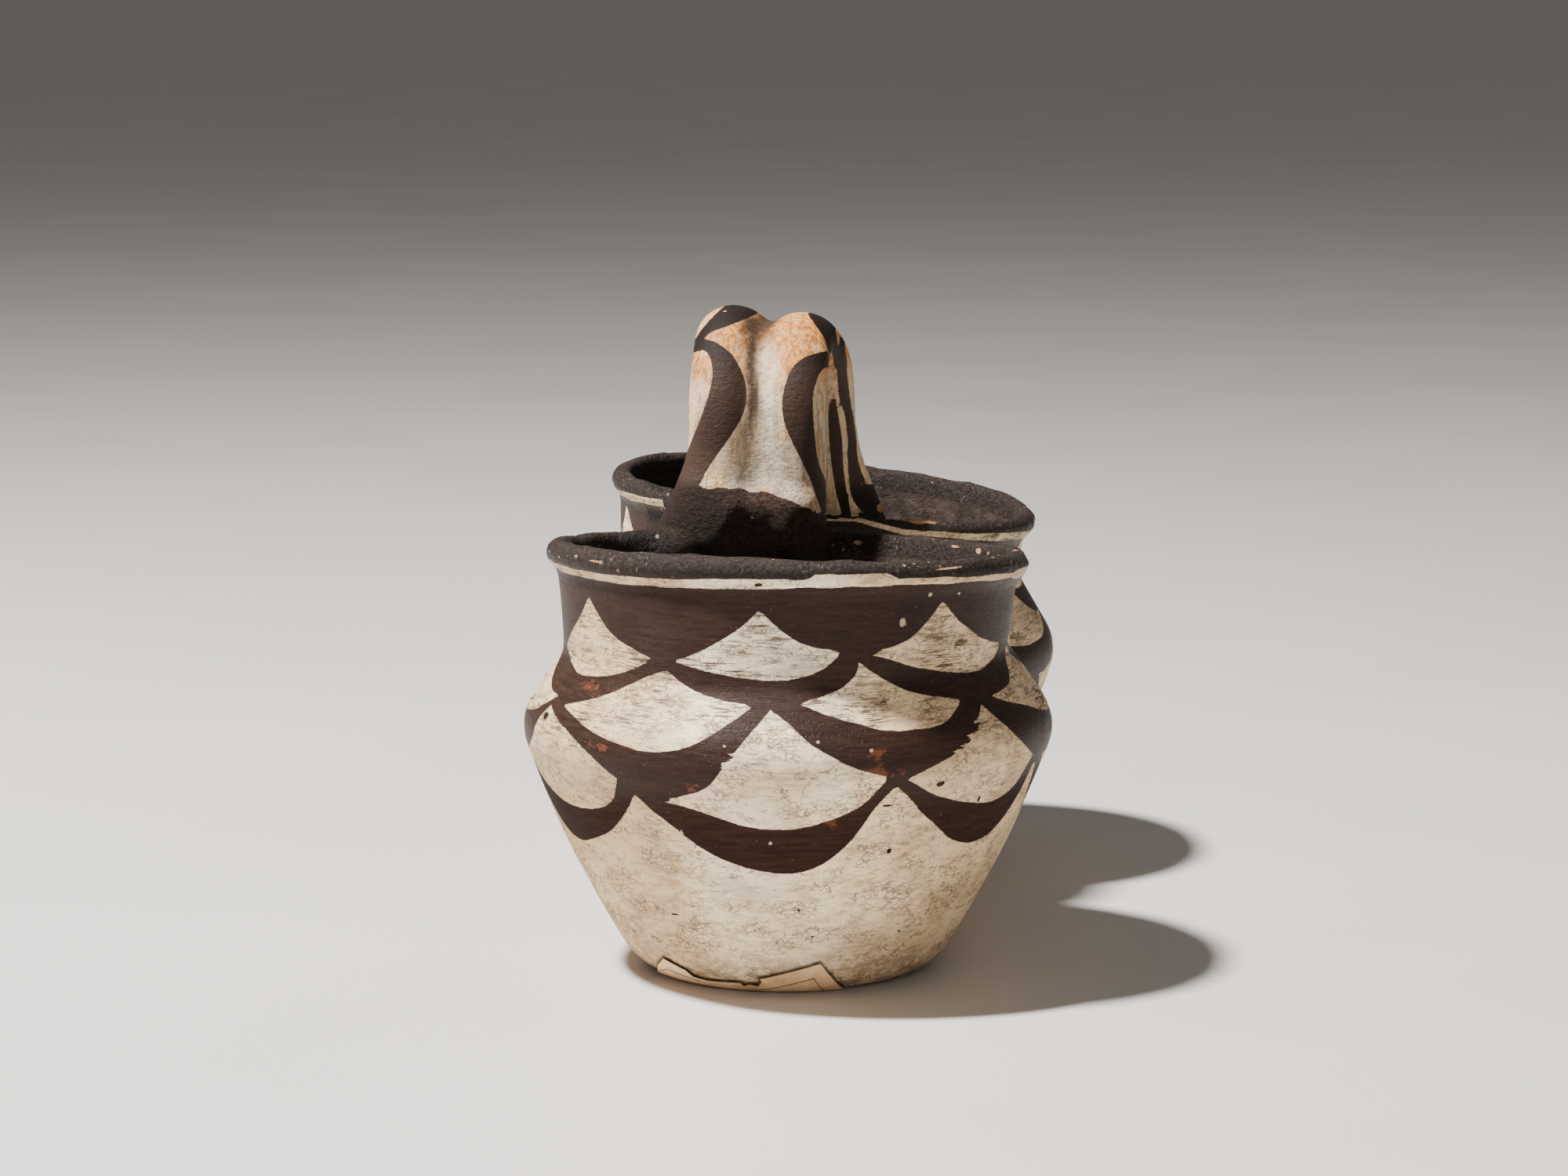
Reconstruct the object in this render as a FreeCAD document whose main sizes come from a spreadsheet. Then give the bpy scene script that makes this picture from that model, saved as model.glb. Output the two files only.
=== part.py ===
import FreeCAD, Part

import os

import Sketcher

# Twin pottery vessel: two open jars of one fired clay body, joined at the belly, under one arched
# handle of two clay coils, with a torn paper label under the foot of the front jar.
#
# Millimetres, +Z up, origin on the floor under the middle of the vessel. The jars stand in line
# along Y, the front one towards -Y, and the handle arches from rim to rim over the middle.

Vector = FreeCAD.Vector

doc = FreeCAD.newDocument("twin_vessel")


# Driving dimensions, in millimetres and degrees

SIZES = [
    ("belly_overlap", 1.2, "how far the two bellies sink into each other where they meet"),
    ("wall", 5.6, "thickness of the jars' walls and floors"),
    ("heel_rounding", 14.0, "radius between the flat base and the flank"),
    ("flank_bow", 290.0, "radius of the slow bulge of the flank"),
    ("belly_rounding", 12.0, "radius of the profile at the widest place"),
    ("lip_thickness", 6.6, "diameter of the rolled lip"),
    ("neck_depth", 32.0, "length of the neck piece, most of it buried in the shoulder"),
    # front jar
    ("front_base_radius", 29.0, "radius of the flat base"),
    ("front_belly_radius", 66.2, "largest radius"),
    ("front_belly_height", 61.5, "height of the largest radius"),
    ("front_shoulder_rise", 20.5, "from the belly up to the foot of the neck"),
    ("front_neck_rise", 21.0, "from the foot of the neck up to the middle of the lip"),
    ("front_neck_radius", 54.4, "outer radius at the foot of the neck"),
    ("front_lip_radius", 56.8, "radius of the lip's centre line"),
    ("front_rim_dip", 4.0, "tilt of the rim down towards the other jar"),
    ("front_rim_lean", 1.2, "tilt of the rim down to the right"),
    # rear jar
    ("rear_base_radius", 28.0, "radius of the flat base"),
    ("rear_belly_radius", 64.0, "largest radius"),
    ("rear_belly_height", 61.0, "height of the largest radius"),
    ("rear_shoulder_rise", 20.5, "from the belly up to the foot of the neck"),
    ("rear_neck_rise", 21.0, "from the foot of the neck up to the middle of the lip"),
    ("rear_neck_radius", 54.0, "outer radius at the foot of the neck"),
    ("rear_lip_radius", 56.2, "radius of the lip's centre line"),
    ("rear_rim_dip", 0.5, "tilt of the rim down towards the other jar"),
    ("rear_rim_lean", 6.0, "tilt of the rim down to the right"),
    # clay collar that joins the bellies
    ("collar_radius", 19.0, "radius of the collar at its waist"),
    ("collar_flare", 8.0, "how much wider the collar is where it runs out on the jars"),
    ("collar_reach", 12.0, "from the collar's waist to its ends, inside the walls"),
    # handle
    ("handle_rise", 48.4, "from the middle of the lips to the middle of the right coil's crown"),
    ("crown_lift", 1.7, "the left coil's crown stands this much higher"),
    ("handle_reach", 17.5, "from the middle of the arch to the middle of a leg"),
    ("handle_offset", 8.8, "the legs stand this far left of the jars' common plane"),
    ("crown_shift", 1.8, "the crown stands this much further left than the legs"),
    ("handle_skew", 9.0, "angle of the arch to the jars' common plane, rear leg to the right"),
    ("coil_spacing", 17.9, "distance between the centre lines of the two coils"),
    ("coil_width", 17.8, "width of one coil across the handle"),
    ("coil_depth", 15.6, "thickness of one coil"),
    ("fill_width", 17.6, "width of the clay smoothed into the seam between the coils"),
    ("groove_depth", 2.4, "depth of the groove that is left between the coils"),
    ("foot_spread", 10.0, "how far the outer coil's foot runs out sideways"),
    ("foot_follow", 6.0, "how far that foot bends away from the gap, to stay on its rim"),
    ("foot_turn", 20.0, "turn of that foot's section, to run out along its rim"),
    # paper label
    ("label_turn", 4.6, "turn of the label's outline from the front, towards the right"),
    ("label_left", 31.6, "from the front jar's axis to the label's left end"),
    ("label_width", 45.2, "length of the label across the foot"),
    ("label_top", 9.2, "height of the label's highest corner above the floor"),
    ("label_foot", 0.3, "height of the label's lower edge above the floor"),
    ("label_thickness", 0.3, "thickness of the paper and its glue"),
]

sheet = doc.addObject("Spreadsheet::Sheet", "Sizes")
for row, (alias, value, meaning) in enumerate(SIZES, start=1):
    sheet.set(f"A{row}", meaning)
    sheet.set(f"B{row}", str(value))
    sheet.setAlias(f"B{row}", alias)
doc.recompute()


def bind(thing, **expressions):
    """Binds properties of a document object to expressions; s.NAME stands for a cell."""
    for prop, expression in expressions.items():
        thing.setExpression(prop, expression.replace("s.", "Sizes."))


def placed(x, y, z, yaw=0, pitch=0, roll=0):
    """Expression of a placement from a position and turns about Z, Y and X."""
    return (
        f"create(<<placement>>; create(<<vector>>; {x}; {y}; {z}); "
        f"create(<<rotation>>; {yaw}; {pitch}; {roll}))"
    )


def fuse(name, *pieces):
    made = doc.addObject("Part::MultiFuse", name)
    made.Shapes = list(pieces)
    return made


def cut(name, base, tool):
    made = doc.addObject("Part::Cut", name)
    made.Base = base
    made.Tool = tool
    return made


# Places shared by the pieces of one jar

HALF_LENGTH = "(s.front_belly_radius + s.rear_belly_radius - s.belly_overlap / 2)"
AXIS_Y = {
    "front": f"(s.front_belly_radius - {HALF_LENGTH})",
    "rear": f"({HALF_LENGTH} - s.rear_belly_radius)",
}
# The other jar lies towards +Y of the front one and towards -Y of the rear one
DIP = {"front": "-s.front_rim_dip", "rear": "s.rear_rim_dip"}
LIP_HEIGHT = {
    jar: f"(s.{jar}_belly_height + s.{jar}_shoulder_rise + s.{jar}_neck_rise)"
    for jar in ("front", "rear")
}


# The bodies of the jars, turned profiles

# Where the arcs of the profile are first drawn to end; the tangent constraints then settle them
HEEL_TO_FLANK = -31
FLANK_TO_BELLY = -20
BELLY_TO_SHOULDER = 33

def profile_body(jar, surface, inset):
    """Turned solid below the neck: the outside of a jar, or its cavity when inset by the wall."""
    body = doc.addObject("PartDesign::Body", f"{jar}_{surface}")
    bind(body, Placement=placed("0", AXIS_Y[jar], "0"))
    sketch = body.newObject("Sketcher::SketchObject", f"{jar}_{surface}_profile")
    plane = next(item for item in body.Origin.OriginFeatures if item.Name.startswith("XZ_Plane"))
    sketch.AttachmentSupport = [(plane, "")]
    sketch.MapMode = "FlatFace"

    def start(alias):
        return float(sheet.get(alias))

    base = start(f"{jar}_base_radius")
    heel = start("heel_rounding") - inset
    low = start("heel_rounding") - heel
    belly = start("belly_rounding") - inset
    centre_x = start(f"{jar}_belly_radius") - start("belly_rounding")
    centre_z = start(f"{jar}_belly_height")
    top = centre_z + start(f"{jar}_shoulder_rise")
    neck = start(f"{jar}_neck_radius") - inset
    bow = start("flank_bow") - inset

    def on_arc(x, z, radius, degrees):
        turned = FreeCAD.Rotation(Vector(0, 0, 1), degrees).multVec(Vector(radius, 0, 0))
        return Vector(x, z, 0) + turned

    def arc(x, z, radius, first, last):
        circle = Part.Circle(Vector(x, z, 0), Vector(0, 0, 1), radius)
        radians = [FreeCAD.Units.Quantity(f"{a} deg").getValueAs("rad").Value for a in (first, last)]
        return Part.ArcOfCircle(circle, *radians)

    heel_end = on_arc(base, low + heel, heel, HEEL_TO_FLANK)
    flank_end = on_arc(centre_x, centre_z, belly, FLANK_TO_BELLY)
    shoulder_start = on_arc(centre_x, centre_z, belly, BELLY_TO_SHOULDER)
    middle = (heel_end + flank_end) / 2
    across = Vector(-(flank_end - heel_end).y, (flank_end - heel_end).x, 0).normalize()
    half = (flank_end - heel_end).Length / 2
    flank_centre = middle + across * (bow * bow - half * half) ** 0.5
    first = Vector(1, 0, 0).getAngle(heel_end - flank_centre)
    last = Vector(1, 0, 0).getAngle(flank_end - flank_centre)
    flank_circle = Part.Circle(flank_centre, Vector(0, 0, 1), bow)

    sketch.addGeometry(
        [
            Part.LineSegment(Vector(0, low, 0), Vector(base, low, 0)),
            arc(base, low + heel, heel, -90, HEEL_TO_FLANK),
            Part.ArcOfCircle(flank_circle, -first, -last),
            arc(centre_x, centre_z, belly, FLANK_TO_BELLY, BELLY_TO_SHOULDER),
            Part.LineSegment(shoulder_start, Vector(neck, top, 0)),
            Part.LineSegment(Vector(neck, top, 0), Vector(0, top, 0)),
            Part.LineSegment(Vector(0, top, 0), Vector(0, low, 0)),
        ],
        False,
    )
    BASE, HEEL, FLANK, BELLY, SHOULDER, TOP, AXIS = range(7)
    for before, after in ((BASE, HEEL), (HEEL, FLANK), (FLANK, BELLY), (BELLY, SHOULDER)):
        sketch.addConstraint(Sketcher.Constraint("Tangent", before, 2, after, 1))
    for before, after in ((SHOULDER, TOP), (TOP, AXIS)):
        sketch.addConstraint(Sketcher.Constraint("Coincident", before, 2, after, 1))
    sketch.addConstraint(Sketcher.Constraint("Coincident", AXIS, 2, BASE, 1))
    sketch.addConstraint(Sketcher.Constraint("Horizontal", BASE))
    sketch.addConstraint(Sketcher.Constraint("Horizontal", TOP))
    sketch.addConstraint(Sketcher.Constraint("PointOnObject", AXIS, 1, -2))
    sketch.addConstraint(Sketcher.Constraint("PointOnObject", AXIS, 2, -2))
    less = {"body": "", "cavity": " - s.wall", "skin": " + s.label_thickness"}[surface]
    dimensions = [
        ("DistanceX", (-1, 1, HEEL, 3), base, f"s.{jar}_base_radius"),
        ("DistanceY", (-1, 1, HEEL, 3), low + heel, "s.heel_rounding"),
        ("Radius", (HEEL,), heel, f"s.heel_rounding{less}"),
        ("Radius", (FLANK,), bow, f"s.flank_bow{less}"),
        ("Radius", (BELLY,), belly, f"s.belly_rounding{less}"),
        ("DistanceX", (-1, 1, BELLY, 3), centre_x, f"s.{jar}_belly_radius - s.belly_rounding"),
        ("DistanceY", (-1, 1, BELLY, 3), centre_z, f"s.{jar}_belly_height"),
        ("DistanceX", (-1, 1, TOP, 1), neck, f"s.{jar}_neck_radius{less}"),
        (
            "DistanceY",
            (-1, 1, TOP, 1),
            top,
            f"s.{jar}_belly_height + s.{jar}_shoulder_rise",
        ),
    ]
    for kind, places, value, expression in dimensions:
        number = sketch.addConstraint(Sketcher.Constraint(kind, *places, value))
        sketch.setExpression(f"Constraints[{number}]", expression.replace("s.", "Sizes."))
    turned = body.newObject("PartDesign::Revolution", f"{jar}_{surface}_turned")
    turned.Profile = sketch
    turned.ReferenceAxis = (sketch, ["V_Axis"])
    turned.Angle = 360
    body.Tip = turned
    return body


# Necks and lips, set square to the tilted rims

def rim_placed(jar, drop="0"):
    """Expression of a placement at the middle of a jar's tilted rim, or below it along its axis."""
    sideways = f"-sin(s.{jar}_rim_lean) * ({drop})"
    along = f"sin({DIP[jar]}) * ({drop})"
    return placed(
        f"({sideways})",
        f"({AXIS_Y[jar]} + {along})",
        f"({LIP_HEIGHT[jar]} - ({drop}))",
        pitch=f"s.{jar}_rim_lean",
        roll=DIP[jar],
    )


def neck(jar):
    """The upright neck of a jar, from inside the shoulder to the middle of the lip."""
    made = doc.addObject("Part::Cone", f"{jar}_neck")
    bind(
        made,
        Radius1=f"s.{jar}_neck_radius",
        Radius2=f"s.{jar}_lip_radius + 0.1 * s.lip_thickness",
        Height="s.neck_depth",
        Placement=rim_placed(jar, "s.neck_depth"),
    )
    return made


def neck_cavity(jar):
    """The opening through the neck and the lip."""
    made = doc.addObject("Part::Cone", f"{jar}_neck_cavity")
    bind(
        made,
        Radius1=f"s.{jar}_neck_radius - s.wall",
        Radius2=f"s.{jar}_lip_radius - 0.2 * s.lip_thickness",
        Height="s.neck_depth + s.lip_thickness",
        Placement=rim_placed(jar, "s.neck_depth"),
    )
    return made


def rolled_lip(jar):
    """The thick rolled lip round a jar's mouth."""
    made = doc.addObject("Part::Torus", f"{jar}_lip")
    bind(
        made,
        Radius1=f"s.{jar}_lip_radius",
        Radius2="s.lip_thickness / 2",
        Placement=rim_placed(jar),
    )
    return made


# The collar between the jars

def joining_collar():
    """Clay pressed in where the bellies meet: a short bar, waisted by a ring-shaped hollow."""
    middle = f"({AXIS_Y['front']} + s.front_belly_radius + {AXIS_Y['rear']} - s.rear_belly_radius) / 2"
    height = "(s.front_belly_height + s.rear_belly_height) / 2"
    bar = doc.addObject("Part::Cylinder", "collar_bar")
    bind(
        bar,
        Radius="s.collar_radius + s.collar_flare",
        Height="2 * s.collar_reach",
        Placement=placed("0", f"({middle} + s.collar_reach)", height, roll="90"),
    )
    waist = doc.addObject("Part::Torus", "collar_waist")
    bind(
        waist,
        Radius1="s.collar_radius + s.collar_reach",
        Radius2="s.collar_reach",
        Placement=placed("0", f"({middle})", height, roll="90"),
    )
    return cut("collar", bar, waist)


# The handle: two coils side by side, the right one being the left one turned half round

# Each station of a leg: share of the reach, share of the rise, tilt of the section in degrees,
# share of the spread where the foot runs out, share of the coil's depth, share of the groove
LEG = [
    ("root", 0.62, -0.22, 0, 0.7, 0.60, 0.3),
    ("toe", 0.74, -0.06, 0, 1.0, 1.04, 0.3),
    ("foot", 0.84, 0.07, 0, 0.75, 1.10, 0.3),
    ("shin", 0.95, 0.27, 4, 0.30, 1.02, 0.55),
    ("leg", 1.00, 0.54, 8, 0.0, 0.98, 0.9),
    ("bend", 0.86, 0.80, 32, 0.0, 0.98, 1.0),
    ("haunch", 0.47, 0.955, 62, 0.0, 1.00, 1.25),
]
CROWN = ("crown", 0.0, 1.00, 90, 0.0, 1.00, 1.5)
RIM = f"(({LIP_HEIGHT['front']} + {LIP_HEIGHT['rear']}) / 2)"


def arch(name, side, lift, radii):
    """One strand of the handle. side is -1 on the left, 0 in the middle and 1 on the right, lift is
    how much higher its crown stands, and radii gives a section's two radii at a station."""
    stations = [(-1, *station) for station in LEG]
    stations.append((0, *CROWN))
    stations += [(1, *station) for station in reversed(LEG)]
    sections = []
    for end, part, reach, rise, tilt, spread, depth, groove in stations:
        spreads = spread if end == side else 0.0
        major, minor = radii(spreads, depth, groove)
        made = doc.addObject("Part::Ellipse", f"{name}_{part}_{'rear' if end > 0 else 'front'}")
        bind(
            made,
            MajorRadius=major,
            MinorRadius=minor,
            Placement=placed(
                f"{side} * (s.coil_spacing / 2 + {spreads} * s.foot_spread / 2)"
                f" + {end * reach} * s.handle_reach * tan(s.handle_skew)"
                f" - {round(1 - reach, 2)} * s.crown_shift",
                f"{end * reach} * s.handle_reach + {end * spreads} * s.foot_follow",
                f"{RIM} + {rise} * (s.handle_rise + {lift})",
                yaw=f"{spreads} * s.foot_turn",
                roll=-(180 - tilt if end > 0 else tilt),
            ),
        )
        sections.append(made)
    made = doc.addObject("Part::Loft", name)
    made.Sections = sections
    made.Solid = True
    middle = f"({AXIS_Y['front']} + s.front_lip_radius + {AXIS_Y['rear']} - s.rear_lip_radius) / 2"
    bind(made, Placement=placed("-s.handle_offset", f"({middle})", "0"))
    return made


def coil(side):
    """One of the two coils: the left one spreads at its front foot, the right one at its rear."""

    def radii(spreads, depth, groove):
        return (
            f"s.coil_width / 2 + {spreads} * s.foot_spread / 2",
            f"{depth} * s.coil_depth / 2",
        )

    lift = "s.crown_lift" if side < 0 else "0"
    return arch("left_coil" if side < 0 else "right_coil", side, lift, radii)


def groove_fill():
    """Clay smoothed into the seam between the coils, which leaves a shallow groove."""

    def radii(spreads, depth, groove):
        return ("s.fill_width / 2", f"{depth} * s.coil_depth / 2 - {groove} * s.groove_depth")

    return arch("groove_fill", 0, "s.crown_lift / 2", radii)


# The paper label, what is left of a strip folded up from under the front jar

# Torn outline seen from the front: share of the width from the left end, share of the height
TORN = [
    (0.000, 0.52),
    (0.035, 0.82),
    (0.155, 0.57),
    (0.197, 0.38),
    (0.274, 0.31),
    (0.449, 0.35),
    (0.469, 0.23),
    (0.495, 0.31),
    (0.542, 0.26),
    (0.564, 0.41),
    (0.555, 0.52),
    (0.723, 0.77),
    (0.874, 1.00),
    (0.942, 0.49),
]


def torn_window():
    """Block with the label's torn outline, reaching forward from the front jar's axis."""
    body = doc.addObject("PartDesign::Body", "label_window")
    bind(body, Placement=placed("0", AXIS_Y["front"], "0", yaw="s.label_turn"))
    sketch = body.newObject("Sketcher::SketchObject", "label_outline")
    plane = next(item for item in body.Origin.OriginFeatures if item.Name.startswith("XZ_Plane"))
    sketch.AttachmentSupport = [(plane, "")]
    sketch.MapMode = "FlatFace"
    width, height, foot = (float(sheet.get(f"label_{n}")) for n in ("width", "top", "foot"))
    left = float(sheet.get("label_left"))
    corners = [(share_x * width - left, share_z * height) for share_x, share_z in TORN]
    corners = [(-left, foot), *corners, (width - left, foot)]
    heights = ["s.label_foot", *[f"{z} * s.label_top" for _, z in TORN], "s.label_foot"]
    places = [0.0, *[x for x, _ in TORN], 1.0]
    count = len(corners)
    for number, (x, z) in enumerate(corners):
        after = corners[(number + 1) % count]
        sketch.addGeometry(Part.LineSegment(Vector(x, z, 0), Vector(*after, 0)), False)
    for number, (x, z) in enumerate(corners):
        sketch.addConstraint(
            Sketcher.Constraint("Coincident", number, 2, (number + 1) % count, 1)
        )
        for kind, value, expression in (
            ("DistanceX", x, f"{places[number]} * s.label_width - s.label_left"),
            ("DistanceY", z, heights[number]),
        ):
            made = sketch.addConstraint(Sketcher.Constraint(kind, -1, 1, number, 1, value))
            sketch.setExpression(f"Constraints[{made}]", expression.replace("s.", "Sizes."))
    block = body.newObject("PartDesign::Pad", "label_block")
    block.Profile = sketch
    bind(block, Length="s.front_belly_radius")
    body.Tip = block
    return body


def paper_label(foot):
    """Thin skin on the foot of the front jar, kept only inside the torn outline."""
    thickness = float(sheet.get("label_thickness"))
    skin = cut("label_skin", profile_body("front", "skin", -thickness), foot)
    made = doc.addObject("Part::MultiCommon", "paper_label")
    made.Shapes = [skin, torn_window()]
    return made


JARS = ("front", "rear")
wall = float(sheet.get("wall"))
bodies = [profile_body(jar, "body", 0) for jar in JARS]
outside = fuse(
    "outside",
    *bodies,
    *[neck(jar) for jar in JARS],
    *[rolled_lip(jar) for jar in JARS],
    joining_collar(),
)
cavities = [
    fuse(f"{jar}_inside", profile_body(jar, "cavity", wall), neck_cavity(jar)) for jar in JARS
]
hollow = cut("front_hollow", outside, cavities[0])
hollow = cut("both_hollow", hollow, cavities[1])
vessel = fuse("double_bowl", hollow, coil(-1), coil(1), groove_fill())
vessel.Label = "double_bowl"
label = paper_label(bodies[0])
label.Label = "paper_label"
doc.recompute()

for item in doc.Objects:
    if "Invalid" in item.State or "Error" in item.State:
        raise RuntimeError(f"{item.Name} did not build")
os.makedirs("parts", exist_ok=True)
for item in (vessel, label):
    shape = item.Shape
    if shape.isNull() or not shape.isValid() or len(shape.Solids) != 1:
        raise RuntimeError(f"{item.Label} is not one sound solid")
    box = shape.BoundBox
    print(item.Label, "volume", round(shape.Volume), "height", round(box.ZMin, 2), round(box.ZMax, 2))
    shape.exportStep(f"parts/{item.Label}.step")
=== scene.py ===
import math
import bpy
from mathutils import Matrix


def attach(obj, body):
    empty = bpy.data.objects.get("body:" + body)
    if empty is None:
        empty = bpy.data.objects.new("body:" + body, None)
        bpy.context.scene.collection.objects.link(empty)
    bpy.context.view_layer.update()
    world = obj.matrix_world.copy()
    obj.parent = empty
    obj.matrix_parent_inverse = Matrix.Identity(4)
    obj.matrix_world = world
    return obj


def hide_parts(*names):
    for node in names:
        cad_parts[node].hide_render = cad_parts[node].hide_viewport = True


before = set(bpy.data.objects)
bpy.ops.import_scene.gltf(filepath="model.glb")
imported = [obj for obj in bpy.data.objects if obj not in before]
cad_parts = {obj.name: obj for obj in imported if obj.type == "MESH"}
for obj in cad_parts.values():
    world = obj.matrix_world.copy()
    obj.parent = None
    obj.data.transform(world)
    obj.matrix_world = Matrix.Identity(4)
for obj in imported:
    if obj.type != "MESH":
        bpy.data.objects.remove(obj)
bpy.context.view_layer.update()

from types import SimpleNamespace

import bmesh
import bpy
import numpy as np
from mathutils import Vector
from mathutils.kdtree import KDTree

# Looks of a hand-built pottery double bowl: two jars of one fired clay body under an arched handle,
# painted dark brown on cream slip, with a torn paper label at the foot of the front jar. Sizes are
# in millimetres, and in metres for the lamps and the floor.

MM = 0.001
rng = np.random.default_rng(7)


# Places of the two jars and the handle, the same as in the solids

class Jar:
    """Middle, rim and radii of one jar; the tilts of its rim are in degrees."""

    def __init__(self, y, lip_height, lip_radius, neck_radius, dip, lean, slimmer):
        self.middle = np.array([0.0, y, 0.0])
        self.rim = np.array([0.0, y, lip_height])
        self.lip_radius = lip_radius
        self.neck_radius = neck_radius
        self.slimmer = slimmer
        axis = np.array([math.sin(math.radians(lean)), -math.sin(math.radians(dip)), 1.0])
        self.axis = axis / np.linalg.norm(axis)


FRONT = Jar(y=-63.4, lip_height=103.0, lip_radius=56.8, neck_radius=54.4, dip=-4.0, lean=1.2, slimmer=0.0)
REAR = Jar(y=65.6, lip_height=102.5, lip_radius=56.2, neck_radius=54.0, dip=0.5, lean=6.0, slimmer=2.0)
HANDLE_X = -9.8
HANDLE_Y = 1.4
WALL = 5.6
NECK_DEPTH = 32.0  # from the rim down to where the neck's cone would end
NECK_HEIGHT = 24.0  # from the rim down to the shoulder
# At the rim the neck's faces stand so far outside and inside the lip's middle circle
NECK_OUT = 0.66
NECK_IN = 1.3
INNER_SPREAD = 0.83  # share of its full spread that the inner face reaches
LIP_HALF = 4.1  # half thickness of the rolled lip, with a little to spare
# Outside of the front jar below its neck: height and radius; the rear jar is slimmer all over
PROFILE = [
    (0, 29.0), (3, 37.6), (7, 41.0), (14, 45.4), (24, 51.0), (44, 60.0), (57, 65.4), (61.5, 66.2),
    (68, 64.3), (82, 54.6),
]
VIEW_TURN = math.radians(4.6)  # how far to the right the photograph is taken from


# Mesh helpers

def new_object(name, mesh):
    made = bpy.data.objects.new(name, mesh)
    bpy.context.scene.collection.objects.link(made)
    return made


def apply_modifier(item, kind, **settings):
    """Bakes one modifier into an object's own mesh."""
    modifier = item.modifiers.new(kind.lower(), kind)
    for key, value in settings.items():
        setattr(modifier, key, value)
    graph = bpy.context.evaluated_depsgraph_get()
    mesh = bpy.data.meshes.new_from_object(item.evaluated_get(graph))
    item.modifiers.clear()
    item.data = mesh


def points_of(item):
    """Vertices in millimetres."""
    flat = np.empty(len(item.data.vertices) * 3)
    item.data.vertices.foreach_get("co", flat)
    return flat.reshape(-1, 3) / MM


def move_points(item, points):
    item.data.vertices.foreach_set("co", (points * MM).ravel())
    item.data.update()


def give(item, name, values):
    """Stores one number a vertex, for the material to read."""
    layer = item.data.attributes.new(name, "FLOAT", "POINT")
    layer.data.foreach_set("value", np.asarray(values, dtype=np.float32))


def waves(points, length, seed, count=7):
    """Smooth unevenness, mostly from -1 to 1, with bumps about that many millimetres apart."""
    chance = np.random.default_rng(seed)
    total = np.zeros(len(points))
    for _ in range(count):
        direction = chance.normal(size=3)
        direction /= np.linalg.norm(direction)
        pitch = length * chance.uniform(0.7, 1.5)
        total += np.sin(points @ direction * 2 * math.pi / pitch + chance.uniform(0, 6.28))
    return total / count ** 0.5 / 1.5


def fade(value, low, high):
    """0 below low, 1 above high, smooth between; low may be above high."""
    t = np.clip((value - low) / (high - low), 0, 1)
    return t * t * (3 - 2 * t)


# Places on a jar

def in_front(points):
    """Which places belong to the front jar and the front half of the handle."""
    return points[:, 1] < HANDLE_Y


def away_from(points, middle):
    """Level directions away from an upright line, of length 1."""
    level = points - middle
    level[:, 2] = 0
    return level / (np.linalg.norm(level, axis=1)[:, None] + 1e-9)


def bearing(points, jar):
    """Degrees round a jar, 0 at the front, growing to the right."""
    return np.degrees(np.arctan2(points[:, 0], -(points[:, 1] - jar.middle[1])))


def about_rim(points, jar):
    """Distance from the tilted rim's axis, and height above the rim."""
    from_rim = points - jar.rim
    height = from_rim @ jar.axis
    return np.linalg.norm(from_rim - np.outer(height, jar.axis), axis=1), height


# Painted outlines: strokes of given points, joined at their ends

DEGREE = math.pi / 180 * 60  # millimetres of painted surface in one degree round a jar
REACH = 4.0  # how far from an outline depths are told apart
FAR = 9.0  # millimetres at which a line or the label no longer matters
UNMARKED = -3.0  # depth stored where nothing is near


def curve(points, steps=5):
    """Smooth line through the points."""
    path = np.array(points, dtype=float)
    padded = np.vstack([2 * path[0] - path[1], path, 2 * path[-1] - path[-2]])
    made = []
    for a, b, c, d in zip(padded, padded[1:], padded[2:], padded[3:]):
        for t in np.arange(steps) / steps:
            made.append(
                0.5 * (2 * b + (c - a) * t + (2 * a - 5 * b + 4 * c - d) * t * t
                       + (3 * b - 3 * c + d - a) * t ** 3)
            )
    made.append(path[-1])
    return made


def outline(*strokes):
    """Closed outline from strokes; each goes on from the end of the one before it."""
    made = []
    start = []
    for stroke in strokes:
        line = start + stroke
        made += curve(line)[:-1] if len(line) > 2 else [np.array(line[0], dtype=float)]
        start = line[-1:]
    return np.array(made)


def depth_inside(places, shape):
    """Millimetres from the outline, positive inside it, no further than REACH."""
    depth = np.full(len(places), -REACH)
    low = shape.min(axis=0) - REACH
    high = shape.max(axis=0) + REACH
    near = np.flatnonzero(((places > low) & (places < high)).all(axis=1))
    if not len(near):
        return depth
    at = places[near]
    nearest = np.full(len(near), REACH)
    inside = np.zeros(len(near), dtype=bool)
    for a, b in zip(shape, np.roll(shape, -1, axis=0)):
        along = b - a
        length = max(float(along @ along), 1e-9)
        t = np.clip(((at - a) @ along) / length, 0, 1)
        gap = at - a - np.outer(t, along)
        nearest = np.minimum(nearest, np.hypot(gap[:, 0], gap[:, 1]))
        if a[1] != b[1]:
            crosses = (a[1] > at[:, 1]) != (b[1] > at[:, 1])
            inside ^= crosses & (at[:, 0] < a[0] + (at[:, 1] - a[1]) * along[0] / along[1])
    depth[near] = np.where(inside, nearest, -nearest)
    return depth


def deeper(places, one, other):
    return np.maximum(depth_inside(places, one), depth_inside(places, other))


def unrolled(turns, heights, shapes):
    """Deepest of the outlines, given in degrees and millimetres, at each place round a jar."""
    deepest = np.full(len(turns), -REACH)
    for shape in shapes:
        flat = shape * [DEGREE, 1.0]
        middle = (shape[:, 0].min() + shape[:, 0].max()) / 2
        near = (turns - middle + 180) % 360 - 180 + middle
        places = np.column_stack([near * DEGREE, heights])
        deepest = np.maximum(deepest, depth_inside(places, flat))
    return deepest


# Fish-scale fans on the front jar, in degrees round it and millimetres up: left edge from the top
# down, rounded foot from left to right, right edge back up to the top

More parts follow.
